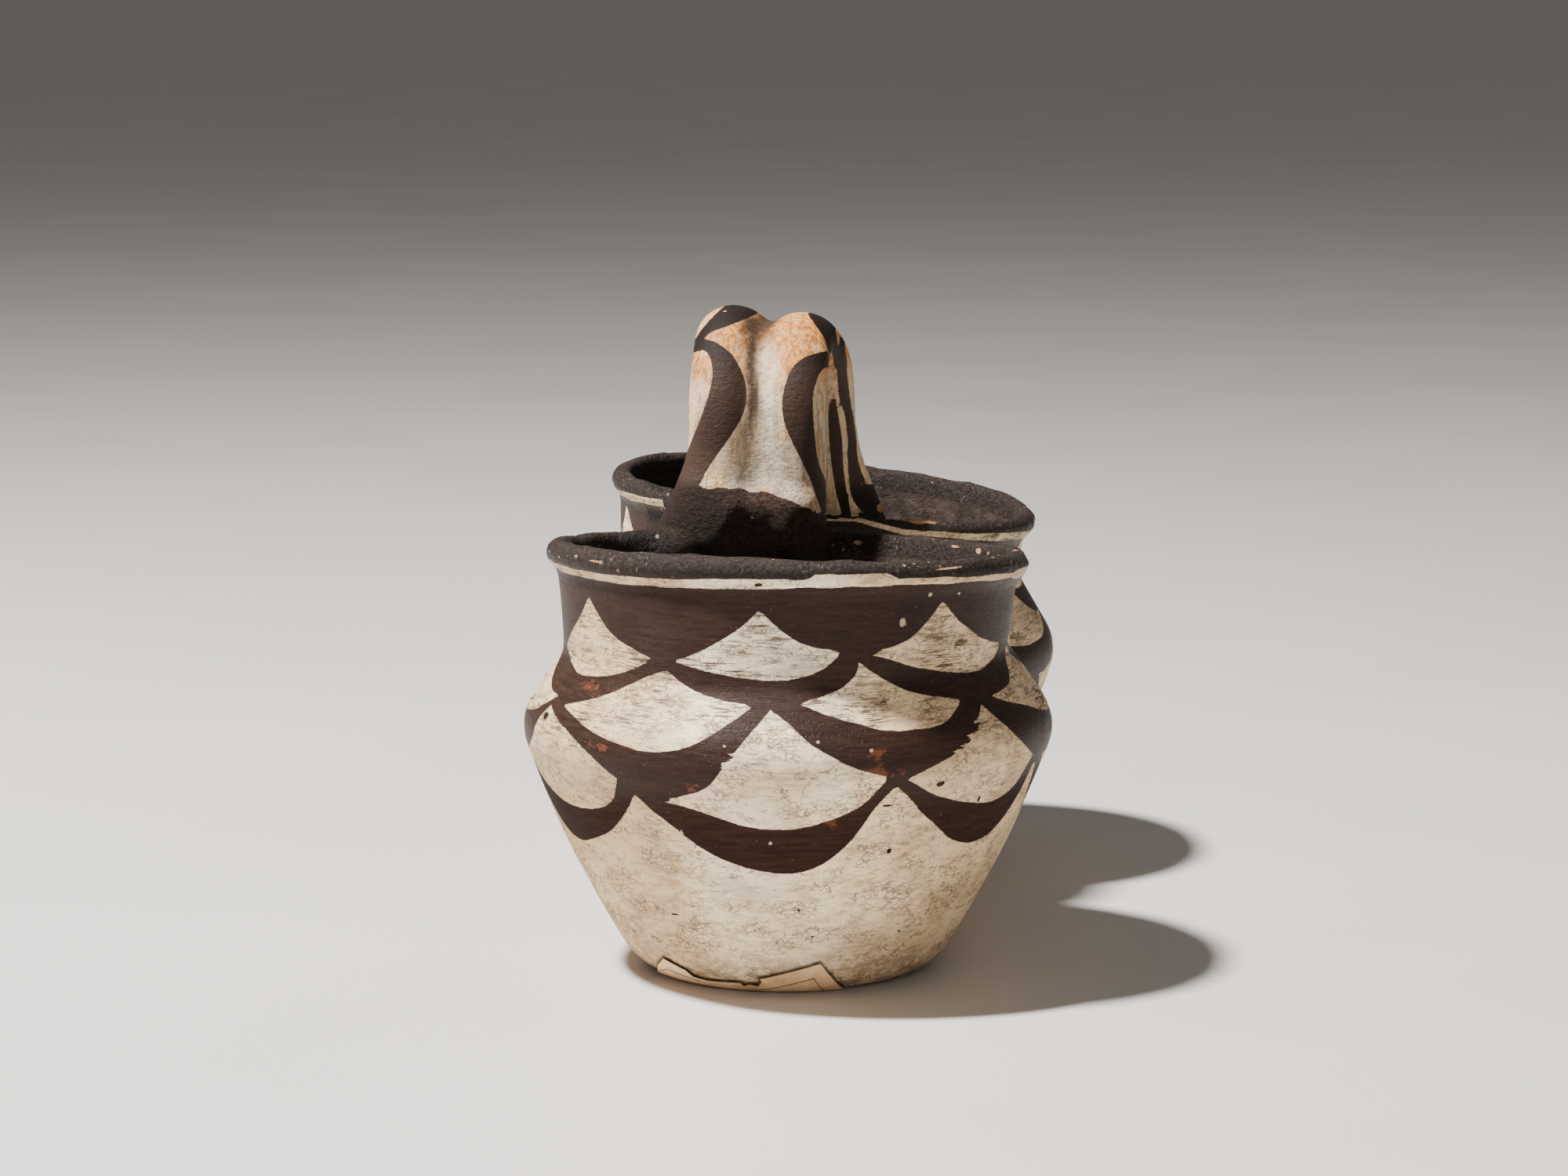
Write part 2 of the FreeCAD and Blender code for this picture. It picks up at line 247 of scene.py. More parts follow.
FRONT_FANS = [
    outline(
        [(-53, 97.3), (-57, 92.9), (-62, 89), (-72, 82.5)],
        [(-64, 79), (-56, 77.9), (-46, 78.8), (-37, 81.2), (-30, 84.4)],
        [(-40, 87.8), (-46, 91), (-53, 97.3)],
    ),
    outline(
        [(-2, 97.8), (-6, 94), (-11, 90.5), (-17, 87.2), (-24, 84.5)],
        [(-12, 82.2), (-3, 81.1), (6, 81.2), (13, 83.4), (18, 87.4)],
        [(9, 89.3), (3, 93), (-2, 97.8)],
    ),
    outline(
        [(45, 97.9), (41, 93.8), (36, 89.9), (30, 88), (24, 87.1)],
        [(38, 82.7), (50, 80.2), (60, 79.7), (69, 81.4), (74, 84.3)],
        [(64, 86.4), (54, 90.9), (45, 97.9)],
    ),
    outline(
        [(-26, 82.2), (-33, 79.5), (-44, 74.2), (-56, 70.9)],
        [(-44, 67.5), (-33, 64.9), (-24, 64), (-16, 66), (-8, 71.5), (-3, 75.4)],
        [(-12, 76.5), (-19, 78.4), (-26, 82.2)],
    ),
    outline(
        [(22, 85), (21.5, 82), (17, 78.6), (7, 75.6)],
        [(18, 71.8), (29, 69.2), (40, 69.6), (49, 74.2)],
        [(38, 76.4), (30, 79.5), (22, 85)],
    ),
    outline(
        [(81, 83), (77, 79.5), (70, 75.2), (59, 73.7)],
        [(69, 70.4), (80, 67.2), (92, 66), (104, 69), (110, 73.5)],
        [(100, 74.8), (90, 77.5), (81, 83)],
    ),
    outline(
        [(-62, 69.8), (-65, 66.1), (-68, 60.5), (-78, 55.5)],
        [(-70, 50.5), (-60, 47.2), (-51, 46.2), (-43, 47.4), (-37, 50.6), (-34, 56.2)],
        [(-42, 62), (-52, 66.4), (-62, 69.8)],
    ),
    outline(
        [(1, 74.6), (-4, 68.5), (-8, 62.5), (-13, 55.8), (-23, 52.1)],
        [(-12, 49), (-2, 46.3), (9, 46.6), (20, 51.2), (26, 58.5)],
        [(19, 61.1), (10, 66.8), (1, 74.6)],
    ),
    outline(
        [(54, 72.2), (49, 67.9), (44, 63.6), (37, 60.6), (30, 57.7)],
        [(38, 53), (48, 49.6), (58, 48.3), (66, 50.5), (71, 58)],
        [(63, 63), (58, 68), (54, 72.2)],
    ),
]

# Lower edge of the dark band under the last row, from cusp to cusp, in degrees and millimetres
FRONT_HEM = [
    [(-82, 55.5), (-76, 47), (-69, 39.6), (-60, 36.8), (-51, 38), (-41, 42), (-34, 47.8),
     (-30, 52.9)],
    [(-30, 52.9), (-20, 43.9), (-11, 37.6), (2, 34.3), (12, 36.2), (19, 42.2), (24, 51), (28, 56.3)],
    [(28, 56.3), (37, 47.5), (47, 40), (57, 37.9), (65, 40.6), (71, 47.4), (74, 57.3)],
]


SIDE_BOW = 2.2
FOOT_BOW = 2.3
HEM_BOW = 2.4


def fan(middle, half, top, tip, foot):
    """One generic fan for the sides that the photograph doesn't show."""
    shares = (0.0, 0.25, 0.5, 0.75, 1.0)
    lean = rng.uniform(-2, 2)
    heights = [tip + (top - tip) * (1 - t) ** SIDE_BOW for t in shares]
    left = [(middle + lean - (half + lean) * t, z) for t, z in zip(shares, heights)]
    right = [(middle + lean + (half - lean) * t, z) for t, z in zip(shares, heights)]
    sides = (-0.6, -0.2, 0.2, 0.6, 1)
    base = [(middle + half * u, foot + (tip - foot) * abs(u) ** FOOT_BOW) for u in sides]
    return outline(left, base, right[-2::-1])


def row(first, last, count, gap, top, tip, foot):
    """Fans side by side from one bearing to another, each a little different."""
    edges = np.linspace(first, last, count + 1)
    edges[1:-1] += rng.uniform(-2, 2, count - 1)
    return [
        fan((a + b) / 2, (b - a - gap) / 2, top + rng.uniform(-0.8, 0.8), tip + rng.uniform(-0.6, 0.6),
            foot + rng.uniform(-0.8, 0.8))
        for a, b in zip(edges, edges[1:])
    ]


def hem(first, last, count, cusp, foot):
    """Scallops of the lower edge from one bearing to another."""
    edges = np.linspace(first, last, count + 1)
    shares = (0, 0.15, 0.35, 0.5, 0.65, 0.85, 1)
    return [
        [(a + (b - a) * t, foot + (cusp - foot) * abs(2 * t - 1) ** HEM_BOW) for t in shares]
        for a, b in zip(edges, edges[1:])
    ]


def below(strokes):
    """The bare slip under the hem, all round the jar."""
    first, last = strokes[0][0], strokes[-1][-1]
    line = []
    for stroke in strokes:
        line += curve(stroke)[:-1]
    line += [last, (last[0], -20.0), (first[0], -20.0)]
    return np.array(line, dtype=float)


FRONT_FANS += row(first=78, last=283, count=4, gap=4, top=97.5, tip=84.6, foot=79.5)
FRONT_FANS += row(first=113, last=301, count=4, gap=4, top=83.2, tip=72.4, foot=66.0)
FRONT_FANS += row(first=76, last=280, count=4, gap=5, top=72.8, tip=56.5, foot=47.5)
FRONT_HEM += hem(first=74, last=278, count=4, cusp=56.0, foot=36.5)

REAR_FANS = [
    outline(
        [(-70, 102.2), (-74, 97), (-82, 91.4), (-92, 87)],
        [(-80, 82), (-70, 80.5), (-58, 82.4), (-48, 87.5)],
        [(-56, 90.4), (-62, 94.4), (-70, 102.2)],
    ),
]
REAR_FANS += row(first=-44, last=264, count=6, gap=4, top=98.0, tip=84.0, foot=78.5)
REAR_FANS += row(first=-112, last=248, count=7, gap=4, top=83.0, tip=71.8, foot=65.5)
REAR_FANS += row(first=-85.3, last=274.7, count=7, gap=5, top=72.0, tip=56.0, foot=47.0)
REAR_HEM = hem(first=-85.3, last=274.7, count=7, cusp=55.5, foot=36.0)

# Middle of the thin light line under each lip: bearing, height, half its width
FRONT_LINE = [
    (-180, 98.2, 0.9), (-120, 100.2, 0.9), (-90, 102, 0.9), (-69, 102.6, 1), (-44, 102.9, 1),
    (-24, 103.4, 1), (-8, 104, 1.3), (9, 104.3, 1.1), (11, 104.9, 1.7), (28, 104.7, 1.6),
    (31, 104, 0.8), (44, 103.4, 0.8), (60, 102.3, 0.6), (72, 101.5, 0.7), (74, 101.4, 1.2),
    (90, 100.4, 1.2), (120, 98.8, 0.9), (180, 98.2, 0.9),
]
REAR_LINE = [
    (-180, 100.4, 0.9), (-120, 105, 0.9), (-85, 105.4, 0.8), (-62, 105.6, 1), (-44, 105.5, 1),
    (-20, 104.6, 0.9), (0, 104, 0.8), (12, 103.6, 0.7), (18, 101.9, 0.7), (25, 99.8, 0.7),
    (38, 98.3, 0.8), (47, 96.9, 1), (62, 95.4, 1.1), (80, 94, 1), (91, 94.2, 1),
    (130, 95.8, 0.9), (180, 100.4, 0.9),
]

# Dark shapes on the handle seen from the front: across and up, in millimetres
LEFT_LEAF = outline(
    [(-32, 150.8), (-27.5, 152.3), (-23.2, 152.6), (-18.2, 149.7), (-15, 144.5), (-13.9, 139.5),
     (-14.8, 134), (-18.4, 127.9), (-23.3, 120.8), (-27, 114)],
    [(-36, 108), (-33, 113.5)],
    [(-30.6, 121.6), (-27.5, 128.9), (-24.5, 136.4), (-22.8, 143.1), (-23.2, 147.6),
     (-25, 150), (-27.5, 149.6), (-32, 147.5), (-32, 150.8)],
)
RIGHT_LEAF = outline(
    [(12, 149), (8.2, 149.6), (3, 149.4), (-1, 147.5), (-3.2, 144), (-4.6, 137.9), (-3.7, 131.5),
     (-0.2, 123.8), (3, 116.5), (5.6, 108.5)],
    [(7, 108.5)],
    [(6.2, 116.5), (4.5, 122.5), (3.6, 130.5), (3.2, 138), (4, 142.8), (5.4, 145.4),
     (8.2, 146), (12, 145.5), (12, 149)],
)
LEFT_CROWN = outline(
    [(-32, 148.6), (-28.4, 152.4), (-26.6, 155), (-24.6, 157.4), (-21, 160.9), (-17, 163.5),
     (-11, 161.5)],
    [(-12, 158.9), (-15.5, 157.6), (-20.2, 155.9), (-24.2, 154.3), (-27, 151.2),
     (-32, 148.6)],
)
RIGHT_CROWN = outline(
    [(-3.2, 161.5), (0.5, 161.5), (4.5, 158.8), (6.9, 154.8), (7.9, 150), (7.9, 143)],
    [(6.8, 144.5), (6.4, 149.2), (5, 153.2), (1.6, 157.4), (-3.2, 161.5)],
)
# Two stripes down the right of the rear leg, which run out along the rear rim
INNER_STRIPE = outline(
    [(6, 139), (5.4, 135), (4.9, 131.2), (5.2, 124), (5.9, 116.7), (7.1, 109.5), (9, 103)],
    [(12.2, 103)],
    [(10.4, 109.4), (8.9, 116.7), (8.5, 123.9), (7.5, 131.1), (6.6, 135.5), (6, 139)],
)
OUTER_STRIPE = outline(
    [(8.8, 155), (8, 149.6), (7.4, 146), (7.4, 142.2), (7.9, 134.7), (9.1, 131), (10, 123.8),
     (9.8, 120.2), (10.3, 113.7), (10.9, 109.4), (13, 105.7), (17.7, 103)],
    [(34, 100), (34, 111)],
    [(16.5, 111.5), (14.3, 113.3), (13.1, 116.3), (12.3, 119.9), (12.1, 123.5),
     (11.2, 130.7), (10.6, 134.4), (9.9, 141.9), (9.9, 145.6), (9.4, 149.2), (8.8, 155)],
)
# Light band between them, down to the line under the rear lip
BETWEEN = outline(
    [(8.5, 123.9), (8.9, 116.7), (9.9, 109.4), (11.4, 103)],
    [(16.5, 101.8), (17.3, 103)],
    [(12.8, 105.4), (10.8, 109.4), (10.3, 113.7), (9.8, 120.2), (8.5, 123.9)],
)
# Top edge of the dark foot of the front leg
FOOT_EDGE = [
    (-40, 116.5), (-28.9, 115.6), (-23.4, 115.2), (-18.3, 115.7), (-13.3, 114.5), (-8.2, 114),
    (-4.1, 112.6), (0, 111), (3, 109.8), (6, 107.8), (12, 106.5),
]
REAR_FOOT_EDGE = (104.6, 112.0)  # the same on the rear leg, right and left


# Places where the dark paint is rubbed to orange clay or chipped, and where it was spilt on the
# slip: degrees round the front jar, height, half sizes in millimetres
RUBS = [
    (-46, 75.3, 5, 1.1), (23.6, 63.4, 2, 1.9), (23, 60, 3, 1.6), (29.1, 59.3, 2, 1),
    (13.7, 47.5, 1.6, 0.9), (-32.8, 72.7, 1.6, 0.5), (-40.5, 56, 2.2, 1), (-39.5, 63.9, 2, 1.6),
    (58, 66, 1.4, 0.8), (-16, 56, 1.8, 0.8),
]
CHIPS = [
    (32.9, 93.6, 0.8, 0.9), (41.1, 99.9, 0.5, 0.5), (50.8, 99.7, 0.4, 0.4), (-24.8, 47, 0.5, 0.5),
    (-41.3, 30.8, 0.8, 0.8), (-19.9, 43.8, 0.4, 1.3), (0, 41.8, 0.4, 0.5), (35, 47, 0.4, 1),
    (-8, 66.5, 0.3, 0.3), (22, 64.8, 0.5, 0.4),
]
SPILLS = [
    (38.4, 55.5, 1.3, 0.6), (52.1, 50, 0.4, 0.9), (29, 39.2, 0.5, 0.9), (-2.7, 104.1, 0.9, 0.4),
    (-61.2, 67.6, 1.4, 0.9), (6.9, 24.5, 0.35, 0.35), (11.8, 16.8, 0.3, 0.3), (57.3, 73.4, 1.4, 0.35),
    (-29.5, 20.5, 1, 0.25), (27, 51.6, 1.2, 0.25), (40, 16, 0.35, 0.4), (68, 45, 0.5, 2),
]
# Brushed-dry ends of the dark bands, given in the same way
DRY = [(48, 67.5, 5.5, 3.2), (43, 64, 4, 2), (-8, 63.5, 1.6, 5)]
# Orange streak on the rear lip, right of the handle, given in the same way round the rear jar
STREAKS = [
    (22.5, 105.2, 2.6, 1.2), (26, 103.6, 3.2, 1.2), (30, 102.6, 3.6, 1.1), (34.5, 102.2, 3, 0.9),
]
# Chips on the front lip: a point in millimetres, then half sizes
LIP_CHIPS = [
    (-53.8, -89.9, 105.2, 0.35, 0.25), (-48.7, -98, 107.6, 0.45, 0.35), (-43.2, -104.9, 106.2, 2, 0.2),
    (-41.6, -106.4, 107.5, 0.5, 0.35), (-37, -110.4, 105.8, 0.35, 0.3), (13.8, -10.9, 99.5, 1.1, 0.5),
    (31.8, -113.4, 107.9, 0.35, 0.35), (42.5, -105.5, 106.1, 3.6, 0.2), (46.6, -35.1, 101.3, 1.2, 0.6),
    (52.2, -87.1, 106.8, 0.4, 0.3), (52, -46.8, 101.9, 0.5, 0.35), (56, -57.6, 104.7, 0.8, 0.35),
    (40.1, -26.5, 100.6, 1.4, 0.25), (-37.2, -23.5, 101.9, 0.4, 0.5), (49, -39.8, 100.7, 0.5, 0.35),
]
# Ochre smears along the top of the front leg's dark foot: across, up, half sizes
OCHRE = [
    (-20.8, 115.9, 2, 1.1), (-8.6, 114.8, 1.8, 0.8), (-11.5, 115.3, 1, 0.7), (-1.5, 111.8, 1, 0.6),
]
SMALLEST_MARK = 1.0  # half size of the smallest mark that the mesh can hold


def on_front(item, places):
    """Where marks lie on the front jar: a point in millimetres and half sizes, for the material."""
    points = points_of(item)
    turns = bearing(points, FRONT)
    outer = in_front(points) & (inside_of(points, FRONT) < -1)
    found = []
    for turn, height, wide, tall in places:
        away = np.hypot((turns - turn) * DEGREE, points[:, 2] - height)
        found.append((points[np.argmin(np.where(outer, away, 999.0))], wide, tall))
    return found


def on_surface(item, places):
    """The same for marks given as points, which move to the nearest point of the surface."""
    points = points_of(item)
    found = []
    for *place, wide, tall in places:
        away = np.linalg.norm(points - place, axis=1)
        found.append((points[np.argmin(away)], wide, tall))
    return found


def marks(turns, heights, places):
    """How far inside the nearest listed mark: 1 in its middle, 0 at its edge, below 0 outside."""
    nearest = np.full(len(turns), UNMARKED)
    for turn, height, wide, tall in places:
        across = (turns - turn) * DEGREE / max(wide, SMALLEST_MARK)
        up = (heights - height) / max(tall, SMALLEST_MARK)
        nearest = np.maximum(nearest, 1 - np.hypot(across, up))
    return nearest


# The vessel's form: seams blended as wet clay is, and uneven as a hand leaves it

VOXEL = 1.5
DEEP = 2.0  # so far inside the middle of the wall, and below the lips, faces may be larger
DEEP_BELOW = 96.0
KEPT_SHARE = 0.84  # of all faces
SMEAR = 2.0  # clay pressed over the foot of the front leg
# Heights over which walls and rims begin and cease to be uneven
SWELL_STARTS = (12, 30)
SWELL_ENDS = (150, 158)
RIM_STARTS = (92, 100)
RIM_ENDS = (112, 118)


def clay_body():
    """A copy of the solid's mesh with even faces and softened seams."""
    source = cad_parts["double_bowl"]
    item = new_object("fired_clay", source.data.copy())
    apply_modifier(item, "REMESH", mode="VOXEL", voxel_size=VOXEL * MM, use_smooth_shade=True)
    apply_modifier(item, "SMOOTH", factor=0.5, iterations=4)
    return item


def inside_of(points, jar):
    """How far a place lies on the cavity side of the middle of the wall."""
    across, height = about_rim(points, jar)
    share = np.clip((height + NECK_DEPTH) / NECK_DEPTH, 0, 1.2)
    outer = jar.neck_radius + share * (jar.lip_radius + NECK_OUT - jar.neck_radius)
    spread = jar.lip_radius - NECK_IN - jar.neck_radius + WALL
    inner = jar.neck_radius - WALL + share * spread * INNER_SPREAD
    neck = (outer + inner) / 2 - across
    z = points[:, 2]
    heights, radii = np.array(PROFILE).T
    radius = np.hypot(points[:, 0], points[:, 1] - jar.middle[1])
    body = np.interp(z, heights, radii - jar.slimmer) - WALL / 2 - radius
    body = np.where(z < WALL / 2, -1.0, body)
    return np.where(z > jar.rim[2] - NECK_HEIGHT, neck, body)


def smear_of(item, points):
    """How far the clay pressed over the front leg's foot stands out, on its forward face."""
    normals = np.empty(len(points) * 3)
    item.data.vertices.foreach_get("normal", normals)
    facing = -normals.reshape(-1, 3)[:, 1]
    x, y, z = points.T
    there = fade(facing, 0.0, 0.35) * fade(x, -28, -16) * fade(x, 8.5, 4.5)
    there *= fade(z, 88, 95) * fade(z, 117, 110)
    return SMEAR * there * ((y < -12) & (y > -40))


def make_uneven(item):
    """Swells the walls and lifts the rims in slow waves of under a millimetre."""
    points = points_of(item)
    points[:, 1] -= smear_of(item, points)
    height = points[:, 2].copy()
    walls = fade(height, *SWELL_STARTS) * (1 - fade(height, *SWELL_ENDS))
    swell = 0.35 * waves(points, 70, 1) + 0.18 * waves(points, 24, 2)
    middles = np.where(in_front(points)[:, None], FRONT.middle, REAR.middle)
    points += away_from(points, middles) * (swell * walls)[:, None]
    rims = fade(height, *RIM_STARTS) * (1 - fade(height, *RIM_ENDS))
    points[:, 2] += (0.5 * waves(points, 38, 11) + 0.25 * waves(points, 12, 16)) * rims
    move_points(item, points)


def thin_out(item):
    """Larger faces deep inside the jars, where nothing is painted."""
    points = points_of(item)
    deep = np.maximum(inside_of(points, FRONT), inside_of(points, REAR)) > DEEP
    deep &= points[:, 2] < DEEP_BELOW
    group = item.vertex_groups.new(name="deep")
    group.add(np.flatnonzero(deep).tolist(), 1.0, "REPLACE")
    apply_modifier(item, "DECIMATE", ratio=KEPT_SHARE, vertex_group="deep", vertex_group_factor=10.0)
    item.vertex_groups.clear()


# The vessel's paint, stored at the vertices as depths in millimetres and shares from 0 to 1

FEET_REACH = 36.0  # how far the handle's feet reach from its middle
FEET_FROM = 99.0  # and from what height up
STRAND_REACH = 30.0  # the same for the two coils, clear of the rims
STRAND_FROM = 104.0
UNDER_ARCH = 11.0  # so near the arch's middle the legs' inner faces bear no leaves
GROOVE_SHIFT = 2.8  # how far the groove bends aside down either leg
ASH_SHIFT = 4.2  # from the groove to the grey streak beside it
AGED_REAR = 0.45  # how aged the slip of the rear jar is
# Heights over which each kind of wear, and the painted light on the front jar and on the front leg's foot,
# sets in, going up or going down
CLEAN_AND_LIT = (74, 81)
SCUFFED = (60, 67)
SCUFF_ENDS = (98, 102)
GRITTY_FRONT = (119, 114)
GRITTY_REAR = (114, 109)
FOOT_FILL_HEIGHTS = (119, 115)
BLUSHED = (137, 148)
SMOKED = (140, 154)
SOOTY = (114, 120)
SOOTIER = (124, 136)
CROWNED = (148, 156)
ASHEN = (156, 144)
PLASTERED = (132, 122)


def jar_paint(points):
    """Slip, light lines, lips and hollows of both jars."""
    count = len(points)
    z = points[:, 2]
    found = SimpleNamespace(
        white=np.full(count, -REACH),
        line_height=np.full(count, FAR),
        line_half=np.zeros(count),
        lip=np.zeros(count),
        inner=np.zeros(count),
        hollow=np.full(count, UNMARKED),
    )
    wobble = 0.35 * waves(points, 14, 3) + 0.15 * waves(points, 5, 4)
    uneven = 0.15 * waves(points, 9, 5)
    for jar, mine, fans, strokes, line in (
        (FRONT, in_front(points), FRONT_FANS, FRONT_HEM, FRONT_LINE),
        (REAR, ~in_front(points), REAR_FANS, REAR_HEM, REAR_LINE),
    ):
        across, height = about_rim(points, jar)
        turns = bearing(points, jar)
        hollow = inside_of(points, jar)
        outside = mine & (hollow < 0.3)
        white = unrolled(turns + wobble * 0.6, z + wobble * 0.5, [*fans, below(strokes)])
        bearings, heights, halves = np.array(line).T
        over_line = np.clip(z - np.interp(turns, bearings, heights), -FAR, FAR)
        rolled = np.hypot(across - jar.lip_radius, height) < LIP_HALF
        found.white[outside] = white[outside]
        found.line_height[outside] = over_line[outside]
        found.line_half[mine] = (np.interp(turns, bearings, halves) + uneven)[mine]
        found.lip[mine] = fade(height[mine], -3.4, -1.5) * (hollow[mine] < 6)
        found.inner[mine] = fade(hollow[mine], -0.5, 0.8) * (1 - 0.7 * rolled[mine])
        found.hollow = np.maximum(found.hollow, hollow)
    return found


def handle_paint(points):
    """How deep each place of the handle lies in its dark paint."""
    x, y, z = points.T
    front = in_front(points)
    seen = np.column_stack([x, z])
    from_behind = np.column_stack([2 * HANDLE_X - x, z])
    crown = deeper(seen, LEFT_CROWN, RIGHT_CROWN)
    leaves = deeper(seen, LEFT_LEAF, RIGHT_LEAF)
    rear_leaves = deeper(from_behind, LEFT_LEAF, RIGHT_LEAF)
    stripes = deeper(seen, INNER_STRIPE, OUTER_STRIPE)
    inward = np.abs(y - HANDLE_Y) < UNDER_ARCH
    front_dark = np.where(inward, crown, np.maximum(crown, leaves))
    rear_dark = np.maximum(np.where(inward | (x > 2), stripes, -REACH), crown)
    rear_leaves = np.where(inward | (x >= 4), -REACH, rear_leaves)
    rear_dark = np.maximum(rear_dark, rear_leaves)
    rear_edge = np.where(x > 2, *REAR_FOOT_EDGE)
    foot_edge = np.where(front, np.interp(x, *np.array(FOOT_EDGE).T), rear_edge)
    foot = foot_edge + 0.5 * waves(points, 4, 8) - z
    dark = np.maximum(np.where(front, front_dark, rear_dark), foot)
    return np.where(front, dark, np.minimum(dark, -depth_inside(seen, BETWEEN)))


def jar_wear_and_light(item, points, outside):
    """Rubbed places, dry brush ends, scuffed slip, and the front jar's slip lighter at its front and
    darker at its sides: partly real wear, partly painted light and shade.
    """
    z = points[:, 2]
    front = in_front(points)
    turns = bearing(points, FRONT)
    for name, places in (("rub", RUBS), ("dry", DRY)):
        give(item, name, np.where(outside, marks(turns, z, places), UNMARKED))
    give(item, "streak", np.where(front, UNMARKED, marks(bearing(points, REAR), z, STREAKS)))
    # The front of the front jar is made lighter, most above its middle: partly cleaner slip, partly
    # painted light
    clean_and_lit = fade(np.abs(turns), 26, 14) * (0.4 + 0.6 * fade(z, *CLEAN_AND_LIT)) * front
    give(item, "clean_and_lit", clean_and_lit * (0.9 + 0.2 * waves(points, 18, 15)))
    # Its sides are made darker: painted shade on the left, which faces the key lamp, and worn slip on the
    # right
    aged_and_shaded = fade(turns, -12, -32) + 0.9 * fade(turns, 12, 44)
    give(item, "aged_and_shaded", np.where(front, aged_and_shaded, AGED_REAR) * (0.85 + 0.3 * waves(points, 30, 14)))
    scuff = 0.3 + 0.7 * fade(z, *SCUFFED) * (1 - fade(z, *SCUFF_ENDS))
    give(item, "scuff", scuff * (0.85 + 0.35 * waves(points, 22, 13)))


def handle_wear_and_light(item, points, feet, strand, hollow):
    """Coarse clay at the feet, painted light on the shaded right of the front leg's foot, orange crowns,
    smoke and plaster along the groove.
    """
    x, y, z = points.T
    front = in_front(points)
    low = np.where(front, fade(z, *GRITTY_FRONT), fade(z, *GRITTY_REAR))
    give(item, "coarse", low * (feet & (hollow > -2.5)))
    # Painted light: the right of the front leg's foot, which lies in shade, gets a lighter tone
    give(item, "foot_fill_light", fade(x, -24, -13) * fade(z, *FOOT_FILL_HEIGHTS) * (feet & front))
    blush = fade(z, *BLUSHED) * np.where((np.abs(x - HANDLE_X) > 4) | (z > 150), 1.0, 0.5)
    give(item, "blush", blush * strand * (0.9 + 0.3 * waves(points, 12, 9)))
    give(item, "smoked", strand * fade(z, *SMOKED))
    groove = HANDLE_X - GROOVE_SHIFT * fade(np.abs(y - HANDLE_Y), 2, 9) * np.where(front, 1, -1)
    groove += 0.4 * waves(points, 15, 12)
    soot = (1 - fade(np.abs(x - groove), 0.8, 2.6)) * (0.4 + 0.6 * fade(z, *SOOTIER))
    crowned = (1 - fade(np.abs(x - groove), 2.0, 6.0)) * fade(z, *CROWNED)
    give(item, "soot", np.maximum(soot * fade(z, *SOOTY), crowned) * strand)
    ash = 1 - fade(np.abs(x - groove - np.where(front, ASH_SHIFT, -ASH_SHIFT)), 1.5, 4.0)
    plaster = 0.9 * front * fade(np.abs(x + 9), 13, 7) * fade(z, *PLASTERED)
    give(item, "ash", np.maximum(ash * fade(z, *ASHEN), plaster) * strand)
    ochre = np.full(len(points), UNMARKED)
    for across, up, wide, tall in OCHRE:
        ochre = np.maximum(ochre, 1 - np.hypot((x - across) / wide, (z - up) / tall))
    give(item, "ochre", np.where(strand & front, ochre, UNMARKED))


def paint(item):
    """Works out every painted and worn region, and where light and shade are painted, and stores them at
    the vertices.
    """
    points = points_of(item)
    z = points[:, 2]
    aside, along = np.abs(points[:, :2] - [HANDLE_X, HANDLE_Y]).T
    feet = (along < FEET_REACH) & (aside < FEET_REACH) & (z > FEET_FROM)
    strand = feet & (aside < STRAND_REACH) & (z > STRAND_FROM)
    rims = [about_rim(points, jar)[1] for jar in (FRONT, REAR)]
    on_strand = strand * fade(np.where(in_front(points), *rims), 2.5, 5)
    jars = jar_paint(points)
    give(item, "white", np.where(strand, -handle_paint(points), jars.white))
    give(item, "line_height", np.where(strand, FAR, jars.line_height))
    give(item, "line_half", jars.line_half)
    give(item, "inner", jars.inner * (1 - on_strand))
    give(item, "lip", jars.lip * (1 - on_strand))
    give(item, "strand", on_strand)
    jar_wear_and_light(item, points, in_front(points) & (jars.inner < 0.5) & ~strand)
    handle_wear_and_light(item, points, feet, strand, jars.hollow)


vessel = clay_body()
make_uneven(vessel)
thin_out(vessel)
paint(vessel)
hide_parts("double_bowl")
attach(vessel, "root")


# Materials

